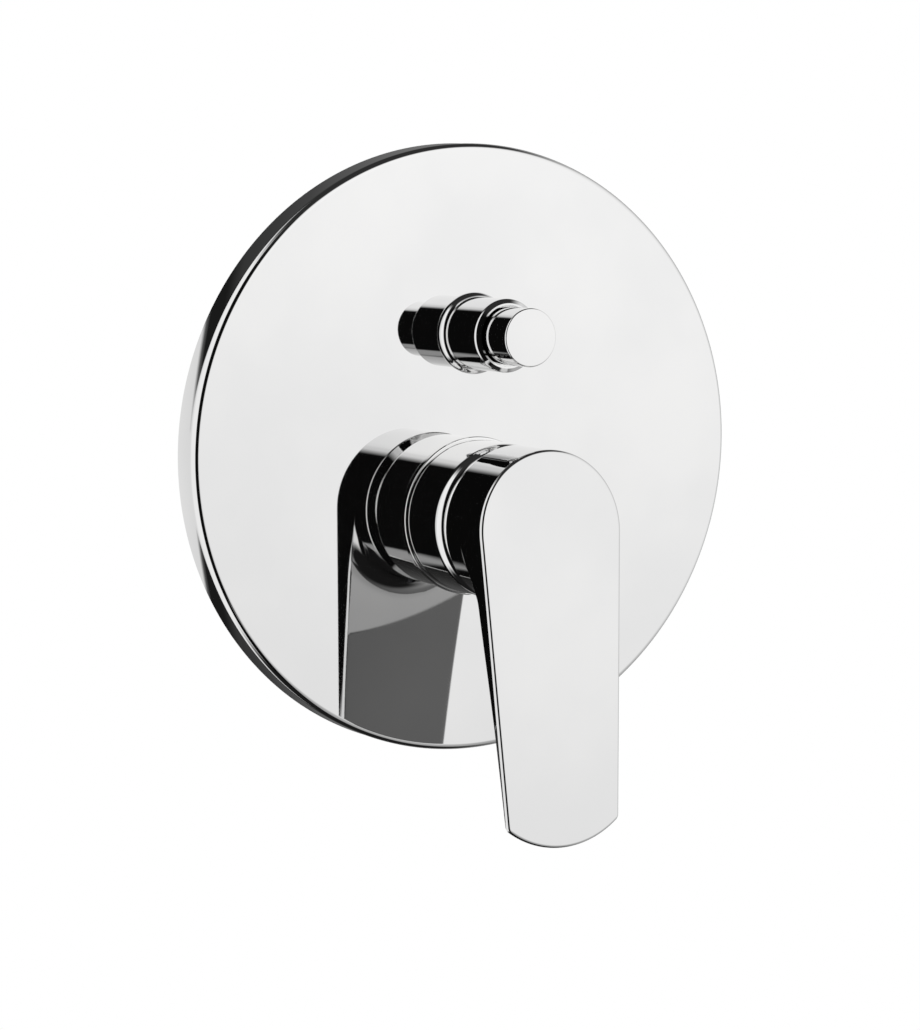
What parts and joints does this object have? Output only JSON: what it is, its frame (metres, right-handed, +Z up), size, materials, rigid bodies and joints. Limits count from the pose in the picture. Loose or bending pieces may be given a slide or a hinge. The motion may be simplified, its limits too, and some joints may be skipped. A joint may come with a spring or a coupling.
{
  "type": "concealed shower mixer",
  "caption": "Wall-mounted single-lever shower mixer with a round chrome cover plate, a tapered lever, a push-button diverter and a brass body inside the wall.",
  "frame": {"origin": "centre of the cover plate on the finished wall's face", "axes": "+Z up, +Y into the wall, +X to the right as seen from the front"},
  "size_m": [0.18, 0.1146, 0.1985],
  "materials": {
    "chrome": "polished",
    "brass": "as cast and turned",
    "brass_bar": "turned",
    "steel": "bright",
    "white_plastic": "moulded",
    "grey_plastic": "moulded",
    "ceramic": "lapped ceramic",
    "rubber": "matt",
    "foam": "closed-cell foam"
  },
  "bodies": {
    "body": {"valve_body": "brass", "cover_plate": "chrome", "plate_seal": "foam", "hub_sleeve": "chrome", "sleeve_seal": "rubber", "cartridge_housing": "grey_plastic", "cartridge_base": "white_plastic", "fixed_disc": "ceramic", "base_seals": "rubber", "cartridge_nut": "brass", "diverter_collar": "chrome", "collar_seal": "rubber", "diverter_bonnet": "brass", "bonnet_seal": "rubber", "gland_seal": "rubber", "diverter_spring": "steel", "hot_union": "brass_bar", "cold_union": "brass_bar", "upper_union": "brass_bar", "lower_union": "brass_bar"},
    "carrier": {"cartridge_carrier": "white_plastic", "pivot_pin": "steel"},
    "lever": {"lever_handle": "chrome", "spindle": "brass_bar", "grub_screw": "steel"},
    "mixing_disc": {"disc_slider": "white_plastic", "moving_disc": "ceramic"},
    "diverter": {"diverter_button": "chrome", "diverter_stem": "brass_bar", "spool_seal": "rubber"}
  },
  "joints": [
    {"name": "temperature_turn", "type": "hinge", "parent": "body", "child": "carrier", "pos_m": [0, -0.0155, -0.0195], "axis": [0, -1, 0], "range_deg": [-50, 50]},
    {"name": "flow_lift", "type": "hinge", "parent": "carrier", "child": "lever", "pos_m": [0, -0.0155, -0.0195], "axis": [-1, 0, 0], "range_deg": [0, 25]},
    {"name": "disc_slide", "type": "slide", "parent": "carrier", "child": "mixing_disc", "axis": [0, 0, -1], "range_m": [0, 0.0052]},
    {"name": "diverter_push", "type": "slide", "parent": "body", "child": "diverter", "axis": [0, 1, 0], "range_m": [0, 0.008], "stiffness_N_per_m": 300, "springref_m": -0.02, "deforming": ["diverter_spring"]}
  ],
  "couplings": [
    {"joint": "disc_slide", "follows": "flow_lift", "m_per_rad": 0.011623}
  ]
}
